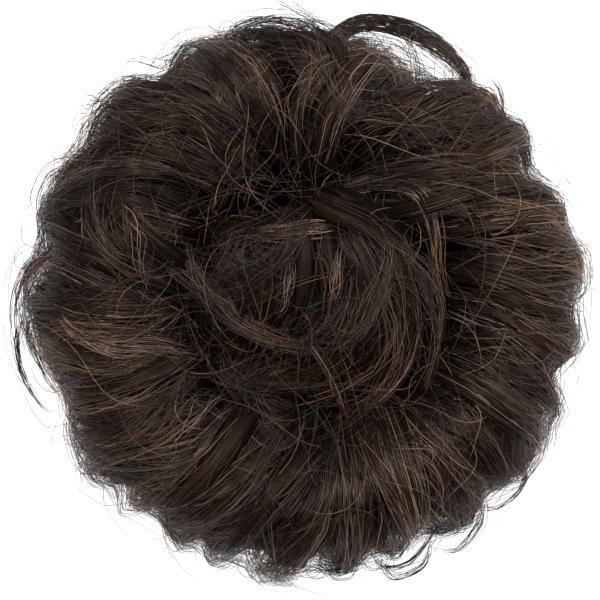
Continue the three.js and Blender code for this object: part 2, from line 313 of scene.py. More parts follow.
# Shares of strands on the side of the clump that shows, of loose ones and of ones that stray across, and
# how far these and the others swing or stray, in millimetres
OUTWARD_SHARE = 0.7
LOOSE_SHARE = 0.2
LOOSE_SIZE, HELD_SIZE = 1.4, 0.22
ASTRAY_SHARE = 0.13
ASTRAY_SIZE, NEAR_SIZE = 4.5, 0.6

# Radii of the thinnest and the thickest strands
STRAND_RADII = (0.06 * MM, 0.11 * MM)
WISP_RADII = (0.05 * MM, 0.1 * MM)
STRAY_RADII = (0.05 * MM, 0.085 * MM)
CURL_RADII = (0.06 * MM, 0.1 * MM)

# How much darker than its hair a core is and how light it is at most, which paint the shade deep in the
# lock, and how deep its grooves are
CORE_PAINTED_SHADE = 0.25
CORE_LIGHTEST = 0.3
CORE_GROOVE = 0.12


def rows_of(columns, rows):
    return [dict(zip(columns, row)) for row in rows]


def polar(turn, radius, height):
    angle = math.radians(turn)
    return (radius * math.cos(angle), radius * math.sin(angle), height)


def share(turn, reach, height):
    return polar(turn, reach * HAIR_REACH, height * HAIR_HEIGHT)


def unit(vectors):
    return vectors / np.maximum(np.linalg.norm(vectors, axis=-1, keepdims=True), 1e-12)


def smoothstep(x, low, high):
    t = np.clip((x - low) / (high - low), 0, 1)
    return t * t * (3 - 2 * t)


# Routes

def between(t, start, first, end, last):
    """The place at t on the way from first, at start, to last, at end."""
    return (end - t) / (end - start) * first + (t - start) / (end - start) * last


def smooth_route(points, count):
    """Points evenly spaced along a centripetal Catmull-Rom curve through the given ones."""
    p = np.array(points, float)
    p = np.vstack([2 * p[0] - p[1], p, 2 * p[-1] - p[-2]])
    knots = np.concatenate([[0], np.cumsum(np.sqrt(np.linalg.norm(np.diff(p, axis=0), axis=1)))])
    fine = []
    for i in range(1, len(p) - 2):
        t0, t1, t2, t3 = knots[i - 1:i + 3]
        t = np.linspace(t1, t2, 24, endpoint=i == len(p) - 3)[:, None]
        a1 = between(t, t0, p[i - 1], t1, p[i])
        a2 = between(t, t1, p[i], t2, p[i + 1])
        a3 = between(t, t2, p[i + 1], t3, p[i + 2])
        b1 = between(t, t0, a1, t2, a2)
        b2 = between(t, t1, a2, t3, a3)
        fine.append(between(t, t1, b1, t2, b2))
    fine = np.vstack(fine)
    length = np.concatenate([[0], np.cumsum(np.linalg.norm(np.diff(fine, axis=0), axis=1))])
    even = np.linspace(0, length[-1], count)
    return np.stack([np.interp(even, length, fine[:, k]) for k in range(3)], axis=1)


def make_route(points, width, crest_at, tone):
    """A lock's centreline with its side and face directions, which are level at the crest."""
    centre = smooth_route(points, ROUTE_STEPS)
    tangent = unit(np.gradient(centre, axis=0))
    side = np.zeros_like(centre)
    crest = round(crest_at * (ROUTE_STEPS - 1))
    side[crest] = unit(np.cross([0, 0, 1], tangent[crest]))
    for step in (1, -1):
        i = crest + step
        while 0 <= i < ROUTE_STEPS:
            carried = side[i - step]
            side[i] = unit(carried - np.dot(carried, tangent[i]) * tangent[i])
            i += step
    length = np.linalg.norm(np.diff(centre, axis=0), axis=1).sum()
    return {
        "centre": centre,
        "tangent": tangent,
        "side": side,
        "face": np.cross(tangent, side),
        "width": width,
        "thickness": width * LOCK_FLATNESS,
        "length": length,
        "tone": tone,
    }


def rim_routes():
    thickness = RIM_LOCK_WIDTH * LOCK_FLATNESS
    curl_height = CURL_FLOOR_GAP + thickness / 2
    strays = rows_of(RIM_STRAY_COLUMNS, RIM_STRAY)
    for i in range(RIM_LOCK_COUNT):
        stray = strays[i % len(strays)]
        turn = 360 / RIM_LOCK_COUNT * (i + 0.5) + stray["turn"]
        tip_turn = turn + RIM_SWEEP
        under_loop = abs(tip_turn - LOOP_GAP_TURN) < LOOP_GAP_SPREAD
        reach = stray["reach"] - (LOOP_GAP_PULL if under_loop else 0)
        points = [
            polar(turn, RIM_WEFT_OUTER, CASING_HEIGHT - thickness / 4),
            share(turn + RIM_SWEEP / 2, RIM_CREST_REACH, RIM_CREST * stray["lift"]),
            share(tip_turn, reach, RIM_TIP * stray["lift"]),
            polar(tip_turn, (reach - RIM_CURL_BACK / 3) * HAIR_REACH, curl_height),
            polar(tip_turn, (reach - RIM_CURL_BACK) * HAIR_REACH, curl_height),
        ]
        yield make_route(points, RIM_LOCK_WIDTH, 0.4, stray["tone"])


def crown_routes():
    root_radius = (CENTRE_WEFT_OUTER + RIM_WEFT_OUTER) / 2
    root_height = CROWN_WEFT_TOP - WEFT_THICKNESS / 2
    for row in rows_of(CROWN_COLUMNS, CROWN_LOCKS):
        lift = row["lift"]
        points = [
            polar(row["rise_turn"], root_radius, root_height),
            share(row["rise_turn"], row["rise_reach"], CROWN_RISE * lift),
            share(row["crest_turn"], row["crest_reach"], CROWN_CREST * lift),
            share(row["tip_turn"], row["tip_reach"], CROWN_TIP * lift),
            share(row["tip_turn"], row["tip_reach"] - CROWN_CURL_BACK, CROWN_CURL * lift),
        ]
        yield make_route(points, row["width"] * HAIR_REACH, 0.55, row["tone"])


def loop_route():
    points = [share(**row) for row in rows_of(LOOP_COLUMNS, LOOP_POINTS)]
    return make_route(points, LOOP_WIDTH * HAIR_REACH, 0.5, 0.35)


def dome(reach):
    return DOME_TOP - DOME_DROP * reach * reach


def centre_routes():
    root_radius = (CASING_INNER + CENTRE_WEFT_OUTER) / 2
    root_height = CENTRE_WEFT_TOP - WEFT_THICKNESS / 2
    for row in rows_of(CENTRE_COLUMNS, CENTRE_LOCKS):
        layer = row["layer"]
        points = [polar(row["turn1"], root_radius, root_height)]
        for i in (1, 2, 3, 4):
            reach = row[f"reach{i}"]
            tuck = CENTRE_TUCK if i == 4 else 0
            points.append(share(row[f"turn{i}"], reach, dome(reach) + layer - tuck))
        yield make_route(points, row["width"] * HAIR_REACH, 0.6, row["tone"])


# Clumps and their strands

def along_route(route, s):
    """The centre, tangent, side and face of a route at shares s of its length."""
    at = np.clip(s, 0, 1) * (ROUTE_STEPS - 1)
    low = np.minimum(at.astype(int), ROUTE_STEPS - 2)
    part = (at - low)[..., None]
    keys = ("centre", "tangent", "side", "face")
    return [route[key][low] * (1 - part) + route[key][low + 1] * part for key in keys]


def strand_ends(rings):
    """Places along a strand from 0 to 1, closer together towards the tip, where it curls."""
    return (1 - (1 - np.linspace(0, 1, rings)) ** 1.35)[None, :]


def clump_plan(route, style):
    """Where a lock's clumps lie in it, and how each one ends."""
    clumps = style["clumps"]
    index = np.arange(clumps)
    angle = index * GOLDEN_ANGLE + rng.uniform(0, TAU)
    radius = np.sqrt((index + 0.5) / clumps)
    downward = -np.sign(route["centre"][-1, 0]) or 1
    sense = np.where(rng.uniform(size=clumps) < DOWNWARD_SHARE, downward, -downward)
    lock_hook = style["hook"] * rng.uniform(0.6, 1.3)
    lock_length = style["hook_length"] * MM * rng.uniform(0.75, 1.25)
    folded = rng.uniform(size=clumps) < style["folded"]
    return {
        "across": 0.66 * radius * np.cos(angle) * style["spread"],
        "through": 0.55 * radius * np.sin(angle),
        "size": rng.uniform(0.36, 0.52, clumps) * style["spread"],
        "start": rng.uniform(0, 0.06, clumps),
        "turn_at": np.clip(rng.normal(style["turn_at"], 0.04, clumps), 0.3, 1),
        "hook": sense * lock_hook * rng.uniform(0.7, 1.3, clumps) * np.where(folded, FOLD_HOOK, 1),
        "length": lock_length * rng.uniform(0.75, 1.2, clumps) * np.where(folded, FOLD_LENGTH, 1),
        "fall": np.where(folded, FOLD_SLOPE, style["fall"]) + rng.normal(0, 0.35, clumps),
        "wave": style["wave"] * rng.uniform(0.3, 1.5, clumps) * MM,
        "wave_turns": rng.uniform(0.6, 1.6, clumps),
        "phase": rng.uniform(0, TAU, clumps),
        "drift": style["drift"] * rng.normal(0, 1, clumps) * MM,
        "lift": style["lift"] * rng.normal(0, 1, clumps) * MM,
        "twist": rng.normal(0, 1.2, clumps),
        "tone": rng.normal(0, 0.25, clumps),
        "core_end": np.where(folded, FOLDED_CORE_END, CORE_END),
    }


def clump_paths(route, plan, u):
    """Centre, side and face at shares u along each row of a plan: in the lock, then round its hook."""
    own = {key: value[:, None] for key, value in plan.items()}
    held = route["length"] * (own["turn_at"] - own["start"])
    distance = u * (held + own["length"])
    s = np.minimum(own["start"] + distance / route["length"], own["turn_at"])
    centre, _, side, face = along_route(route, s)

    gather = 0.45 + 0.55 * smoothstep(s, 0, 0.35)
    across = own["across"] * route["width"] / 2 * gather
    through = own["through"] * route["thickness"] / 2 * gather
    swing = TAU * own["wave_turns"] * u + own["phase"]
    wave = own["wave"] * smoothstep(u, 0.05, 0.4)
    across = across + wave * np.sin(swing) + own["drift"] * smoothstep(u, 0.2, 0.9)
    raised = own["lift"] * smoothstep(u, 0.15, 0.5) * (1 - smoothstep(u, 0.65, 1))
    through = through + 0.5 * wave * np.cos(1.13 * swing) + raised
    centre = centre + side * across[..., None] + face * through[..., None]

    # The hook: its heading turns faster and faster, and its slope goes from the lock's to the fall
    leaving = unit(along_route(route, own["turn_at"])[1])
    heading, slope = np.arctan2(leaving[..., 1], leaving[..., 0]), np.arcsin(leaving[..., 2])

    def direction(t):
        turned = heading + own["hook"] * t ** 1.25
        sloped = slope + (own["fall"] - slope) * smoothstep(t, 0, 1)
        level = np.cos(sloped)
        return np.stack([level * np.cos(turned), level * np.sin(turned), np.sin(sloped)], axis=-1)

    t = np.linspace(0, 1, HOOK_STEPS + 1)[None, :]
    ways = direction(t)
    steps = (ways[:, 1:] + ways[:, :-1]) / 2 * (own["length"] / HOOK_STEPS)[..., None]
    fine = np.concatenate([np.zeros_like(steps[:, :1]), np.cumsum(steps, axis=1)], axis=1)
    past = np.clip((distance - held) / own["length"], 0, 1)
    at = past * HOOK_STEPS
    low = np.minimum(at.astype(int), HOOK_STEPS - 1)
    part = (at - low)[..., None]
    row = np.arange(len(fine))[:, None]
    centre = centre + fine[row, low] * (1 - part) + fine[row, low + 1] * part

    yaw = own["hook"] * past ** 1.25
    turned = np.stack([
        side[..., 0] * np.cos(yaw) - side[..., 1] * np.sin(yaw),
        side[..., 0] * np.sin(yaw) + side[..., 1] * np.cos(yaw),
        side[..., 2],
    ], axis=-1)
    hook_face = unit(np.cross(direction(past), turned))
    face = np.where((past > 0)[..., None], hook_face, face)
    return centre, unit(turned), unit(face)


def clump_size(u):
    """A clump's size along it: gathered at the root, full in the middle and pinched at the tip."""
    return (0.5 + 0.5 * smoothstep(u, 0, 0.35)) * (1 - 0.45 * smoothstep(u, 0.55, 1))


def outline_reach(turn):
    """How far out the hair reaches at turns round the loop: out to the lobes, and less in the notches."""
    reach = np.full(turn.shape, LOBE_REACH)
    for notch in rows_of(NOTCH_COLUMNS, NOTCHES):
        away = np.abs((turn - notch["turn"] + 180) % 360 - 180)
        depth = LOBE_REACH - notch["reach"] * MM
        reach = np.minimum(reach, LOBE_REACH - depth * np.clip(1 - away / notch["spread"], 0, 1) ** 2)
    return reach


def reach_and_limit(points):
    """How far out points are, and how far out the hair reaches where they are."""
    turn = np.degrees(np.arctan2(points[..., 1], points[..., 0]))
    return np.hypot(points[..., 0], points[..., 1]), outline_reach(turn)


def drawn_in(points):
    """Points with those near the outline, or past it, drawn back in, and none below the surface."""
    reach, limit = reach_and_limit(points)
    soft = limit - OUTLINE_MARGIN + rng.normal(0, OUTLINE_STRAY, (len(points), 1))
    kept = np.where(reach > soft, soft + (reach - soft) * OUTLINE_SHARE, reach)
    scale = kept / np.maximum(reach, 1e-9)
    x, y = points[..., 0] * scale, points[..., 1] * scale
    return np.stack([x, y, np.maximum(points[..., 2], FLOOR_GAP)], axis=-1)


def swaying(size, u):
    """How far each strand of a set is off its way at shares u, with a swing of its own."""
    turns = rng.uniform(0.4, 1.4, (len(size), 1))
    return size * np.sin(TAU * turns * u + rng.uniform(0, TAU, (len(size), 1)))


def clump_strands(route, plan, per_clump, rings):
    """Strands over a lock's clumps: (points, shade, radius) with points of strands by rings."""
    which = np.repeat(np.arange(len(plan["size"])), per_clump)
    count = len(which)
    each = (count, 1)
    own = {key: value[which] for key, value in plan.items()}
    own["start"] += rng.uniform(0, 0.12, count)
    own["turn_at"] = np.clip(own["turn_at"] + rng.normal(0, 0.03, count), 0.3, 1)
    own["hook"] *= rng.normal(1, 0.15, count)
    own["length"] *= rng.uniform(0.8, 1.15, count)
    own["fall"] += rng.normal(0, 0.25, count)
    u = strand_ends(rings)
    centre, side, face = clump_paths(route, own, u)

    # Most strands lie on the side of the clump that shows, just over its core
    outward = rng.uniform(size=count) < OUTWARD_SHARE
    angle = np.where(outward, rng.uniform(0, math.pi, count), rng.uniform(0, TAU, count))
    angle = angle[:, None] + own["twist"][:, None] * u
    out = rng.uniform(0.72, 1.12, count)[:, None] * own["size"][:, None] * clump_size(u)
    across = out * np.cos(angle) * route["width"] / 2
    through = out * np.sin(angle) * route["thickness"] / 2 * 1.3
    free = np.where(rng.uniform(size=each) < LOOSE_SHARE, LOOSE_SIZE, HELD_SIZE)
    free = free * rng.gamma(2.0, 0.5, each) * MM * smoothstep(u, 0.0, 0.7)
    astray = np.where(rng.uniform(size=each) < ASTRAY_SHARE, ASTRAY_SIZE, NEAR_SIZE)
    astray = astray * rng.normal(0, 1, each) * MM
    across += astray * smoothstep(u, rng.uniform(0, 0.4, each), 1)
    across, through = across + swaying(free, u), through + 0.8 * swaying(free, u)
    points = drawn_in(centre + side * across[..., None] + face * through[..., None])
    bright = np.where(rng.uniform(size=count) < BRIGHT_SHARE, BRIGHT_TONE, OTHER_TONE)
    shade = np.clip(route["tone"] + own["tone"] + bright + rng.normal(0.0, 0.22, count), 0, 1)
    return points, shade, rng.uniform(*STRAND_RADII, count)


def wisps(routes, count, strands_each, rings):
    """Small clumps that leave their lock and cross its neighbours."""
    each = (strands_each, 1)
    made = []
    for _ in range(count):
        route = routes[rng.integers(len(routes))]
        first = rng.uniform(0.28, 0.55)
        last = first + rng.uniform(0.3, 0.55)
        t = strand_ends(rings)
        begin = first + rng.uniform(0, 0.08, each)
        end = last - 0.25 * rng.uniform(0, 1, each) ** 1.5
        centre, _, side, face = along_route(route, begin + (end - begin) * t)
        across = rng.uniform(-0.5, 0.5) * route["width"] + rng.normal(0, 9 * MM) * smoothstep(t, 0, 1)
        sway = rng.uniform(0.5, 3) * MM
        across = across + sway * np.sin(TAU * rng.uniform(0.4, 1.2) * t + rng.uniform(0, TAU))
        through = route["thickness"] * rng.uniform(0.45, 0.62)
        through = through + rng.uniform(0.3, 2.5) * MM * np.sin(math.pi * t)
        width = rng.uniform(1.2, 3.4) * MM * (1 - 0.4 * smoothstep(t, 0.3, 1))
        spin = rng.uniform(0, TAU, each)
        across = across + width * np.cos(spin) * np.sqrt(rng.uniform(0, 1, each))
        through = through + 0.5 * width * np.sin(spin)
        bend = rng.uniform(0.5, 3.5) * MM * smoothstep(t, 0.5, 1)
        turn = rng.choice([-1, 1]) * TAU * rng.uniform(0.3, 0.9) * t
        across = across + bend * np.cos(turn)
        through = through + 0.6 * bend * np.sin(turn)
        points = drawn_in(centre + side * across[..., None] + face * through[..., None])
        tone = route["tone"] + WISP_TONE + rng.normal(0, 0.1)
        shade = np.clip(tone + rng.normal(0, 0.2, strands_each), 0, 1)
        made.append((points, shade, rng.uniform(*WISP_RADII, strands_each)))
    return joined(*made)


def guide_strands(guide, rings):
    """Strands of a given lock: together at its root, full in the middle and pinched at its tip."""
    points = []
    for x, y, lift in guide["points"]:
        height = cover_height(math.hypot(x * MM, y * MM)) + lift * MM
        points.append((x * MM, y * MM, height))
    route = make_route(points, guide["width"] * MM, 0.5, guide["tone"])
    return loose_lock(route, guide["strands"], rings, GUIDE_SINK, guide["spread"])


def loose_lock(route, count, rings, sink, spread=1.0, uneven=0.4):
    """Strands along a whole route, of uneven lengths, their ends sunk into the hair below."""
    each = (count, 1)
    u = strand_ends(rings)
    s_start = 0.75 * uneven * rng.uniform(0, 1, each) ** 2
    s_end = 1 - uneven * rng.uniform(0, 1, each) ** 1.5
    centre, _, side, face = along_route(route, s_start + u * (s_end - s_start))
    centre[..., 2] -= sink * (1 - smoothstep(u, 0, 0.2) + smoothstep(u, 0.8, 1))
    angle = rng.uniform(0, TAU, each) + rng.normal(0, 0.6, each) * u
    fullness = (0.55 + 0.45 * smoothstep(u, 0, 0.3)) * (1 - 0.6 * smoothstep(u, 0.6, 1))
    out = np.sqrt(rng.uniform(0, 1, each)) * fullness
    free = spread * rng.gamma(2.0, 0.35, each) * MM * smoothstep(u, 0.1, 0.8)
    swing = TAU * rng.uniform(0.5, 1.6, each) * u + rng.uniform(0, TAU, each)
    across = out * np.cos(angle) * route["width"] / 2 + free * np.sin(swing)
    through = out * np.sin(angle) * route["thickness"] / 2 + 0.6 * free * np.cos(1.2 * swing)
    points = centre + side * across[..., None] + face * through[..., None]
    points[..., 2] = np.maximum(points[..., 2], FLOOR_GAP)
    shade = np.clip(route["tone"] + rng.normal(-0.11, 0.26, count), 0, 1)
    return points, shade, rng.uniform(*STRAND_RADII, count)


def cover_height(radius):
    """About how high the hair stands at a distance from the loop's centre."""
    return np.interp(radius / MM, COVER_RADII, COVER_HEIGHTS) * MM


def strays(count, rings, within):
    """Single hairs that curve over the top in any direction, from places within a radius."""
    each = (count, 1)
    radius = within * np.sqrt(rng.uniform(0.0, 1, each))
    angle = rng.uniform(0, TAU, each)
    heading = angle + rng.normal(0, 0.9, each) + np.where(rng.uniform(size=each) < 0.3, math.pi / 2, 0)
    length = rng.uniform(12, 42, each) * MM
    bend = rng.normal(0, 1.0, each) * 1.6
    t = np.linspace(0, 1, rings)[None, :]
    way = heading + bend * t + 0.35 * np.sin(TAU * t * rng.uniform(0.5, 1.5, each))
    step = length / (rings - 1)
    x = radius * np.cos(angle) + np.cumsum(np.cos(way) * step, axis=1)
    y = radius * np.sin(angle) + np.cumsum(np.sin(way) * step, axis=1)
    reach = np.hypot(x, y)
    kept = 1 - 0.8 * np.maximum(reach - HAIR_REACH * 0.98, 0) / reach
    x, y = x * kept, y * kept
    lift = rng.uniform(-1, 3, each) + 2.0 * np.sin(math.pi * t) * rng.uniform(0, 1, each)
    z = cover_height(np.hypot(x, y)) + lift * MM
    points = np.stack([x, y, z], axis=-1)
    shade = np.clip(rng.normal(0.62, 0.2, count), 0, 1)
    return points, shade, rng.uniform(*STRAY_RADII, count)


def rim_curls(count, rings):
    """Single hairs that turn round in and beside the notches."""
    each = (count, 1)
    notches = np.array(NOTCHES, float)
    chosen = notches[rng.choice(len(notches), count, p=notches[:, 1] / notches[:, 1].sum())]
    turn = np.radians(chosen[:, :1] + chosen[:, 1:2] * rng.normal(0, 0.5, each))
    middle = (chosen[:, 2:] + rng.normal(-0.5, 1.5, each)) * MM
    size = rng.uniform(1.5, 5.5, each) * MM
    start = turn + math.pi + rng.normal(0, 0.5, each)
    sweep = rng.choice([-1, 1], each) * rng.uniform(0.5, 1.05, each) * TAU
    t = np.linspace(0, 1, rings)[None, :]
    angle = start + sweep * t
    grow = size * (1 - 0.35 * t)
    along = rng.normal(0, 5, each) * MM * t
    x = middle * np.cos(turn) + grow * np.cos(angle) - along * np.sin(turn)
    y = middle * np.sin(turn) + grow * np.sin(angle) + along * np.cos(turn)
    base = rng.uniform(5, 34, each)
    z = np.maximum((base - 8 * t + 3 * np.sin(angle)) * MM, FLOOR_GAP)
    shade = np.clip(rng.normal(0.4, 0.22, count), 0, 1)
    return np.stack([x, y, z], axis=-1), shade, rng.uniform(*CURL_RADII, count)


def lobe_arcs(per_lobe, rings):
    """Single hairs that come out of one notch, bend round the lobe beside it and go into the next."""
    notches = rows_of(NOTCH_COLUMNS, NOTCHES)
    turns = sorted(notch["turn"] % 360 for notch in notches if notch["spread"] < WIDE_NOTCH)
    first = np.repeat(turns, per_lobe)
    last = np.repeat(turns[1:] + [turns[0] + 360], per_lobe)
    count = len(first)
    each = (count, 1)
    t = np.linspace(0, 1, rings)[None, :]
    first, last = first + rng.normal(0, 1.5, count), last + rng.normal(0, 1.5, count)
    turn = first[:, None] + (last - first)[:, None] * t
    bulge = rng.normal(0.2, 1.1, each) * MM
    place = np.clip(t + rng.normal(0, 0.06, each), 0, 1)
    inward = ARC_DEPTH * (1 - np.sin(math.pi * place)) ** 2
    reach = outline_reach(turn % 360) + bulge - inward
    base = rng.uniform(12, 40, each) + rng.normal(0, 4, each) * t
    z = np.maximum((base - 5 * np.sin(math.pi * t)) * MM, FLOOR_GAP)
    angle = np.radians(turn)
    points = np.stack([reach * np.cos(angle), reach * np.sin(angle), z], axis=-1)
    shade = np.clip(rng.normal(0.3, 0.2, count), 0, 1)
    return points, shade, rng.uniform(*CURL_RADII, count)


def joined(*sets):
    """Several strand sets with the same number of rings as one."""
    return tuple(np.concatenate([one[k] for one in sets]) for k in range(3))


def strand_mesh(name, strands):
    """Closed three-sided tubes along the strands, pointed at both ends."""
    points, shade, radius = strands
    count, rings = points.shape[:2]
    tangent = unit(np.gradient(points, axis=1))
    side = np.zeros_like(points)
    side[:, 0] = unit(np.cross(tangent[:, 0], unit(rng.normal(size=(count, 3)))))
    for k in range(1, rings):
        carried = side[:, k - 1]
        side[:, k] = unit(carried - (carried * tangent[:, k]).sum(-1, keepdims=True) * tangent[:, k])
    along = np.linspace(0, 1, rings)
    taper = np.minimum(1, 0.35 + 5 * along) * (1 - 0.65 * smoothstep(along, 0.6, 1))
    size = radius[:, None] * taper[None, :]
    return tube_mesh(name, points, side, np.cross(tangent, side), size, size, 3, shade)


def core_mesh(name, locks, rings=14, sides=8):
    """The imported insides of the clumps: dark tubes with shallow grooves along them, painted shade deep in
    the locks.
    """
    sets = []
    for route, plan in locks:
        core_end = plan["core_end"][:, None]
        u = core_end * np.linspace(0, 1, rings)[None, :]
        centre, side, face = clump_paths(route, plan, u)
        reach, limit = reach_and_limit(centre)
        past = reach - limit + CORE_INSET
        tapering = smoothstep((u - core_end) / CORE_TAPER, -1, 0)
        ending = np.maximum(tapering, smoothstep(past / CORE_NARROWING, -1, 0))
        size = 0.86 * plan["size"][:, None] * clump_size(u) * (1 - 0.3 * smoothstep(u, 0.4, 0.8))
        size = size * (1 - 0.985 * ending)
        across, through = size * route["width"] / 2, 1.2 * size * route["thickness"] / 2
        # Painted shade: a core is darker than its hair, and never light
        shade = np.clip(route["tone"] + plan["tone"] - CORE_PAINTED_SHADE, 0, CORE_LIGHTEST)
        sets.append((drawn_in(centre), side, face, across, through, shade))
    *shapes, shade = [np.concatenate([one[k] for one in sets]) for k in range(6)]
    return tube_mesh(name, *shapes, sides, shade, groove=CORE_GROOVE)


def tube_mesh(name, centre, side, face, across, through, sides, shade, groove=0.0):
    """Closed tubes of equal rings and sides, each pointed at both ends."""
    count, rings = centre.shape[:2]
    angle = np.arange(sides) * TAU / sides
    wall = 1 + groove * np.cos(angle * (sides // 2))
    reach_across = (across[..., None] * np.cos(angle) * wall)[..., None]
    reach_through = (through[..., None] * np.sin(angle) * wall)[..., None]
    walls = centre[:, :, None] + reach_across * side[:, :, None] + reach_through * face[:, :, None]
    first = centre[:, 0] - unit(centre[:, 1] - centre[:, 0]) * across[:, :1]
    last = centre[:, -1] + unit(centre[:, -1] - centre[:, -2]) * across[:, -1:] * 3
    verts = np.concatenate([walls.reshape(count, -1, 3), first[:, None], last[:, None]], axis=1)
    verts[..., 2] = np.maximum(verts[..., 2], 0)

    # One tube's faces: each corner is a vertex with its place round (0 to 1) and along (0 to 1)
    faces = []
    along = np.linspace(0, 1, rings)
    around = [(j, (j + 1) % sides, j / sides, (j + 1) / sides) for j in range(sides)]
    for k in range(rings - 1):
        low, high = k * sides, (k + 1) * sides
        for j, n, left, right in around:
            lower = [(low + j, left, along[k]), (low + n, right, along[k])]
            faces.append(lower + [(high + n, right, along[k + 1]), (high + j, left, along[k + 1])])
    end = rings * sides
    for j, n, left, right in around:
        middle, top = (left + right) / 2, end - sides
        faces.append([(end, middle, 0), (n, right, 0.01), (j, left, 0.01)])
        faces.append([(end + 1, middle, 1), (top + j, left, 0.99), (top + n, right, 0.99)])
    corners = np.array([corner for face in faces for corner in face])
    loops = corners[:, 0].astype(int) + (np.arange(count) * (end + 2))[:, None]
    sizes = np.tile([len(face) for face in faces], count)
    return mesh_piece(name, verts.reshape(-1, 3), loops.ravel(), sizes, corners[:, 1:], shade, groove > 0)


def add_uv(mesh, name, places):
    mesh.uv_layers.new(name=name).data.foreach_set("uv", places.astype(np.float32).ravel())


def mesh_piece(name, verts, loops, sizes, maps, shade, wrapped):
    """A mesh of equal tubes. maps is one tube's, and each tube has a cell of its own in the last map."""
    mesh = bpy.data.meshes.new(name)
    mesh.vertices.add(len(verts))
    mesh.vertices.foreach_set("co", verts.astype(np.float32).ravel())
    mesh.loops.add(len(loops))
    mesh.loops.foreach_set("vertex_index", loops.astype(np.int32))
    mesh.polygons.add(len(sizes))
    starts = np.concatenate([[0], np.cumsum(sizes)[:-1]]).astype(np.int32)
    mesh.polygons.foreach_set("loop_start", starts)
    mesh.polygons.foreach_set("use_smooth", np.ones(len(sizes), bool))
    mesh.update(calc_edges=True)

    count = len(shade)
    index = np.arange(count)
    shown = np.zeros((count, len(maps), 2))
    shown[..., 0] = shade[:, None]
    shown[..., 1] = maps[:, 1]
    add_uv(mesh, "strand", shown)
    if wrapped:
        add_uv(mesh, "wrap", maps + (index[:, None] * [1.37, 0.71])[:, None, :])
    columns = math.ceil(math.sqrt(count * 4))
    cell = np.stack([index % columns, index // columns], axis=1)[:, None, :]
    placed = (cell + 0.04 + 0.92 * maps) / [columns, math.ceil(count / columns)]
    add_uv(mesh, "OFBake", placed)
    return add_object(name, mesh)


def add_object(name, data):
    thing = bpy.data.objects.new(name, data)
    bpy.context.scene.collection.objects.link(thing)
    return thing


# Rings

def ring_grid(inner, outer, low, high, steps=144, ripple=0.0, ripples=36):
    """A closed ring of rectangular section with soft corners, its outside gathered in ripples."""
    corner = min(outer - inner, high - low) * 0.25
    section = [
        (inner + corner, low), (outer - corner, low), (outer, low + corner), (outer, high - corner),
        (outer - corner, high), (inner + corner, high), (inner, high - corner), (inner, low + corner),
    ]
    turn = np.arange(steps) * TAU / steps
    bulge = 1 + ripple * np.sin(turn * ripples)
    radial, height = np.array(section).T
    radius = (outer + inner) / 2 + (radial[None, :] - (outer + inner) / 2) * bulge[:, None]
    grid = np.zeros((steps, len(section), 3))
    grid[..., 0] = radius * np.cos(turn)[:, None]
    grid[..., 1] = radius * np.sin(turn)[:, None]
    grid[..., 2] = height[None, :]
    return grid


def closed_ring_mesh(name, grids):
    """One mesh of closed rings, each a grid that joins its last section to its first."""
    verts, faces, base = [], [], 0
    for grid in grids:
        index = base + np.arange(grid[..., 0].size).reshape(grid.shape[:2])
        ahead = np.roll(index, -1, axis=0)
        corners = [index, ahead, np.roll(ahead, -1, axis=1), np.roll(index, -1, axis=1)]
        faces.extend(np.stack(corners, axis=-1).reshape(-1, 4).tolist())
        verts.append(grid.reshape(-1, 3))
        base += index.size
    mesh = bpy.data.meshes.new(name)
    mesh.from_pydata(np.vstack(verts).tolist(), [], faces)
    for face in mesh.polygons:
        face.use_smooth = True
    return add_object(name, mesh)


# Materials

# Colours by a hair's shade, from the dark ones to the few pale ones, and by the place from root to tip. The
# root's darkness is painted shade where the strands lie deep under the rest, and the lighter, warmer tip is
# partly the ends' own warmer colour and partly painted light shining through the thin ends.
SHADE_STOPS = [
    (0.0, (0.0036, 0.0024, 0.0019)),
    (0.4, (0.0076, 0.0047, 0.0033)),
    (0.7, (0.0205, 0.0134, 0.0094)),
    (1.0, (0.145, 0.108, 0.085)),
]
ROOT_SHADE_TIP_LIGHT_STOPS = [
    (0.0, (0.22, 0.22, 0.22)),
    (0.35, (0.8, 0.78, 0.78)),
    (0.6, (1.24, 1.04, 0.9)),
    (1.0, (3.15, 2.3, 1.65)),
]
HAIR_SHEEN = (1.0, 0.74, 0.61, 1)


def new_material(name):
    """A material with its node tree and its shader."""
    material = bpy.data.materials.new(name)
    material.use_nodes = True
    return material, material.node_tree, material.node_tree.nodes["Principled BSDF"]


def set_inputs(node, values):
    for name, value in values.items():
        node.inputs[name].default_value = value


def add_node(tree, kind, values, vector=None):
    """A node with its inputs set to the values, and a source for its vector."""
    node = tree.nodes.new(kind)
    set_inputs(node, values)
    if vector:
        tree.links.new(vector, node.inputs["Vector"])
    return node


def ramp(tree, source, stops):
    """A colour ramp on source, with stops of (place, linear colour)."""
    node = tree.nodes.new("ShaderNodeValToRGB")
    elements = node.color_ramp.elements
    while len(elements) < len(stops):
        elements.new(0.5)
    for element, (place, colour) in zip(elements, stops):
        element.position = place
        element.color = (*colour, 1)
    tree.links.new(source, node.inputs["Fac"])
    return node.outputs["Color"]


def grey_ramp(tree, source, low_place, low, high_place, high):
    return ramp(tree, source, [(low_place, (low,) * 3), (high_place, (high,) * 3)])


def uv_map(tree, name):
    node = tree.nodes.new("ShaderNodeUVMap")
    node.uv_map = name
    return node.outputs["UV"]


def multiplied(tree, first, second):
    mix = tree.nodes.new("ShaderNodeMix")
    mix.data_type = "RGBA"
    mix.blend_type = "MULTIPLY"
    mix.inputs["Factor"].default_value = 1.0
    tree.links.new(first, mix.inputs["A"])
    tree.links.new(second, mix.inputs["B"])
    return mix.outputs["Result"]


def add_bump(tree, shader, height, strength, distance):
    bump = add_node(tree, "ShaderNodeBump", {"Strength": strength, "Distance": distance})
    tree.links.new(height, bump.inputs["Height"])
    tree.links.new(bump.outputs["Normal"], shader.inputs["Normal"])


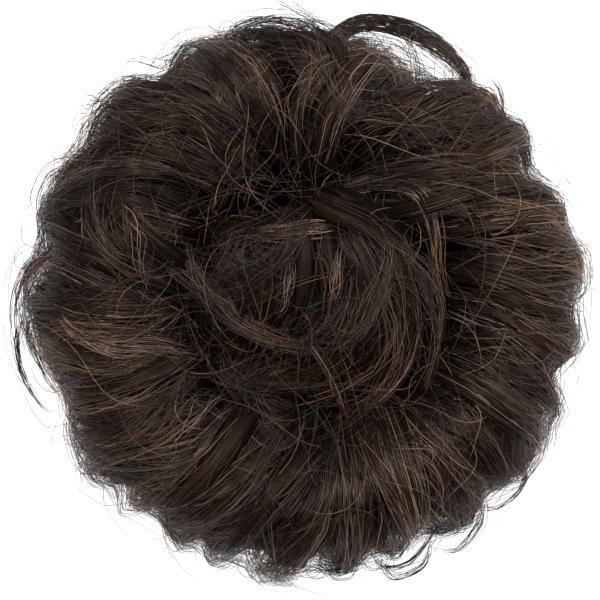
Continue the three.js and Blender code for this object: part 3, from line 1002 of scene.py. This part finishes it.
def hair_material(name, streak_map, streak_scale, streak_dark, streak_light, gloss, depth):
    """Hair with fine streaks. Its map "strand" holds its shade and its place from root to tip."""
    material, tree, shader = new_material(name)
    split = add_node(tree, "ShaderNodeSeparateXYZ", {}, uv_map(tree, "strand"))
    tone = ramp(tree, split.outputs["X"], SHADE_STOPS)
    length = ramp(tree, split.outputs["Y"], ROOT_SHADE_TIP_LIGHT_STOPS)
    stretch = add_node(tree, "ShaderNodeMapping", {"Scale": streak_scale}, uv_map(tree, streak_map))
    values = {"Scale": 1.0, "Detail": 3.0}
    streak = add_node(tree, "ShaderNodeTexNoise", values, stretch.outputs["Vector"]).outputs["Fac"]
    streaked = grey_ramp(tree, streak, 0.32, streak_dark, 0.68, streak_light)
    colour = multiplied(tree, multiplied(tree, tone, length), streaked)
    tree.links.new(colour, shader.inputs["Base Color"])
    tree.links.new(grey_ramp(tree, streak, 0.3, 0.28, 0.7, 0.42), shader.inputs["Roughness"])
    set_inputs(shader, {"Specular IOR Level": gloss, "Specular Tint": HAIR_SHEEN})
    if depth:
        add_bump(tree, shader, streak, 1.0, depth)
    return material


def cloth_material(name, dark, light, scale, roughness):
    """A fine knit: wavy bands of thread for the colour and the bump."""
    material, tree, shader = new_material(name)
    place = tree.nodes.new("ShaderNodeTexCoord").outputs["Object"]
    values = {"Scale": scale, "Distortion": 1.5, "Detail": 3.0}
    weave = add_node(tree, "ShaderNodeTexWave", values, place).outputs["Fac"]
    colour = ramp(tree, weave, [(0.2, dark), (0.9, light)])
    tree.links.new(colour, shader.inputs["Base Color"])
    add_bump(tree, shader, weave, 0.5, 0.2 * MM)
    set_inputs(shader, {"Roughness": roughness, "Specular IOR Level": 0.15})
    return material


# The map of a hair's streaks, their scale, darkest and lightest factors, its gloss and its grooves' depth
HAIR = hair_material("hair_strands", "strand", (190, 5, 1), 0.7, 1.3, 0.45, 0)
# A darker, barely glossy copy of the hair, which paints the shade of the recessed middle
SHADED_HAIR = hair_material("hair_painted_shade", "strand", (190, 5, 1), 0.4, 1.0, 0.05, 0)
# The cores' near-black streaks and low gloss are painted shade deep in the locks
CORE = hair_material("hair_core_painted_shade", "wrap", (32, 1.6, 1), 0.05, 1.5, 0.06, 0.3 * MM)
CASING = cloth_material("casing_knit", (0.005, 0.0038, 0.0034), (0.022, 0.015, 0.011), 900.0, 0.9)
# The wefts' near-black colour is partly their dark cloth and partly painted shade under the hair
WEFT = cloth_material("weft_stitching", (0.0012, 0.0009, 0.0008), (0.006, 0.004, 0.003), 1400.0, 1.0)
ELASTIC = cloth_material("elastic_braid", (0.004, 0.0038, 0.0036), (0.02, 0.018, 0.017), 600.0, 0.6)


def dress(piece, material, slot, *nodes):
    """Gives a piece its material, sets it on the one body and hides the solids it stands for."""
    piece.data.materials.append(material)
    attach(piece, "root")
    if nodes:
        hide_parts(*nodes)
    return piece


# The hair

def planned(routes, kind):
    """Each lock with the plan of its clumps."""
    style = dict(zip(STYLE_COLUMNS, STYLES[kind]))
    return [(route, clump_plan(route, style)) for route in routes]


def hair_of(locks, per_clump, rings):
    """The strands of locks, each with its plan."""
    return joined(*[clump_strands(route, plan, per_clump, rings) for route, plan in locks])


def hair_piece(name, strands, *nodes, material=HAIR):
    dress(strand_mesh(name, strands), material, "hair", *nodes)


rims = planned(rim_routes(), "rim")
crowns = planned(crown_routes(), "crown")
centres = planned(centre_routes(), "centre")
top_locks = [route for route, _ in crowns + centres]

hair_piece("rim_hair", hair_of(rims, per_clump=22, rings=11), "rim_locks")
for part, chosen in enumerate((crowns[:10], crowns[10:19], crowns[19:]), start=1):
    hair_piece(f"crown_hair_{part}", hair_of(chosen, per_clump=30, rings=11), "crown_locks")
# The middle's hair, with its fillers, takes the darker copy of the hair as painted shade
swirl = hair_of(centres[:-CENTRE_SHADE_FILLERS], per_clump=24, rings=12)
shade_fillers = hair_of(centres[-CENTRE_SHADE_FILLERS:], per_clump=13, rings=12)
hair_piece("centre_hair", joined(swirl, shade_fillers), "centre_locks", material=SHADED_HAIR)
loop = loose_lock(loop_route(), 120, rings=18, sink=0, spread=1.1, uneven=0.12)
hair_piece("loop_hair", loop, "crown_locks")
guides = [guide_strands(guide, rings=20) for guide in rows_of(GUIDE_COLUMNS, GUIDES.values())]
hair_piece("guide_hair", joined(*guides))
hair_piece("wisp_hair", wisps(top_locks, 110, strands_each=12, rings=12))
wide_strays = strays(390, rings=12, within=HAIR_REACH * 0.9)
hair_piece("stray_hair", joined(wide_strays, strays(170, rings=12, within=HAIR_REACH * 0.5)))
hair_piece("rim_curl_hair", joined(rim_curls(150, rings=18), lobe_arcs(11, rings=18)))

for part, locks in (("rim", rims), ("crown", crowns), ("centre", centres)):
    dress(core_mesh(f"{part}_core", locks), CORE, "hair", f"{part}_locks")

# The sewn parts

rim_weft = ring_grid(CASING_OUTER + CLEARANCE, RIM_WEFT_OUTER, 0, CASING_HEIGHT)
crown_weft = ring_grid(CASING_INNER, RIM_WEFT_OUTER, CASING_HEIGHT + CLEARANCE, CROWN_WEFT_TOP)
centre_weft = ring_grid(CASING_INNER, CENTRE_WEFT_OUTER, CENTRE_WEFT_BASE, CENTRE_WEFT_TOP)
dress(closed_ring_mesh("wefts", [rim_weft, crown_weft, centre_weft]), WEFT, "casing")

inner_wall = ring_grid(CASING_INNER, CASING_INNER + CASING_WALL, 0, CASING_HEIGHT, ripple=0.1)
outer_wall = ring_grid(CASING_OUTER - CASING_WALL, CASING_OUTER, 0, CASING_HEIGHT, ripple=0.1)
casing_top = ring_grid(CASING_INNER, CASING_OUTER, CASING_HEIGHT - CASING_WALL, CASING_HEIGHT)
casing_cloth = closed_ring_mesh("casing_cloth", [inner_wall, outer_wall, casing_top])
dress(casing_cloth, CASING, "casing", "band_casing")
elastic = ring_grid(elastic_high.x - BAND_THICKNESS, elastic_high.x, elastic_low.z, elastic_high.z)
dress(closed_ring_mesh("elastic_cover", [elastic]), ELASTIC, "elastic", "elastic_band")


# Stage, lights and camera

# The floor glows from the first reach on, fully from the second, and not close under the piece. The glow is
# painted light that fills the shadow round the piece, and the lack of glow close under it is painted shade.
FLOOR_SIZE = 4.0
GLOW = 0.97
GLOW_FROM = 40 * MM
GLOW_TO = 66 * MM

# Each light's place in metres, the side of its square and its power in watts
LIGHTS = {
    "overhead": [(-0.12, 0.38, 1.3), 0.8, 34],
    "left_fill": [(-1.1, -0.2, 0.7), 0.6, 1.5],
    "right_fill": [(1.0, 0.3, 0.8), 0.6, 16],
}
WORLD_LIGHT = 0.3

# The photograph's width and height in pixels, and how long a pixel of it is on the object
PHOTO_SIZE = 600
PIXEL = 0.26 * MM
LOOP_CENTRE_PIXEL = (303, 298)
CAMERA_LENS = 200.0
SENSOR = 36.0
SHARP_HEIGHT = 22 * MM


def make_floor():
    """A plain floor that glows, as painted light over the shadow round the piece, but not close under the
    piece, which paints the shade there.
    """
    mesh = bpy.data.meshes.new("floor")
    half = FLOOR_SIZE / 2
    corners = [(-half, -half, 0), (half, -half, 0), (half, half, 0), (-half, half, 0)]
    mesh.from_pydata(corners, [], [(0, 1, 2, 3)])
    floor = add_object("floor", mesh)
    material, tree, shader = new_material("floor_paper")
    # Its dark base colour shows where the glow stops close under the piece, as painted shade there
    set_inputs(shader, {"Base Color": (0.2, 0.2, 0.2, 1), "Roughness": 1.0, "Specular IOR Level": 0.0})
    shader.inputs["Emission Color"].default_value = (1, 1, 1, 1)
    place = tree.nodes.new("ShaderNodeTexCoord")
    reach = tree.nodes.new("ShaderNodeVectorMath")
    reach.operation = "LENGTH"
    tree.links.new(place.outputs["Object"], reach.inputs[0])
    # The glow rises with the distance from the centre: none close under the piece, as painted shade, and
    # full beyond, as painted light over the shadow
    values = {"From Min": GLOW_FROM, "From Max": GLOW_TO, "To Max": GLOW}
    glow = add_node(tree, "ShaderNodeMapRange", values)
    tree.links.new(reach.outputs["Value"], glow.inputs["Value"])
    tree.links.new(glow.outputs["Result"], shader.inputs["Emission Strength"])
    floor.data.materials.append(material)


def make_lights():
    """Square lights that face the origin, and an even light from all sides."""
    for name, (place, size, power) in LIGHTS.items():
        data = bpy.data.lights.new(name, "AREA")
        data.shape = "SQUARE"
        data.size = size
        data.energy = power
        light = add_object(name, data)
        light.location = place
        light.rotation_mode = "QUATERNION"
        light.rotation_quaternion = (-Vector(place)).to_track_quat("-Z", "Y")
        light.visible_camera = False
    world = bpy.data.worlds.new("studio")
    bpy.context.scene.world = world
    world.use_nodes = True
    set_inputs(world.node_tree.nodes["Background"], {"Color": (1, 1, 1, 1), "Strength": WORLD_LIGHT})


def make_camera():
    """Straight above, with the loop's centre where the photograph has it."""
    data = bpy.data.cameras.new("camera")
    data.lens = CAMERA_LENS
    data.sensor_width = SENSOR
    camera = add_object("camera", data)
    across = (PHOTO_SIZE / 2 - LOOP_CENTRE_PIXEL[0]) * PIXEL
    down = (PHOTO_SIZE / 2 - LOOP_CENTRE_PIXEL[1]) * PIXEL
    distance = CAMERA_LENS / SENSOR * PHOTO_SIZE * PIXEL
    camera.location = (across, -down, SHARP_HEIGHT + distance)
    bpy.context.scene.camera = camera


make_floor()
make_lights()
make_camera()
bpy.context.scene.view_settings.view_transform = "Standard"
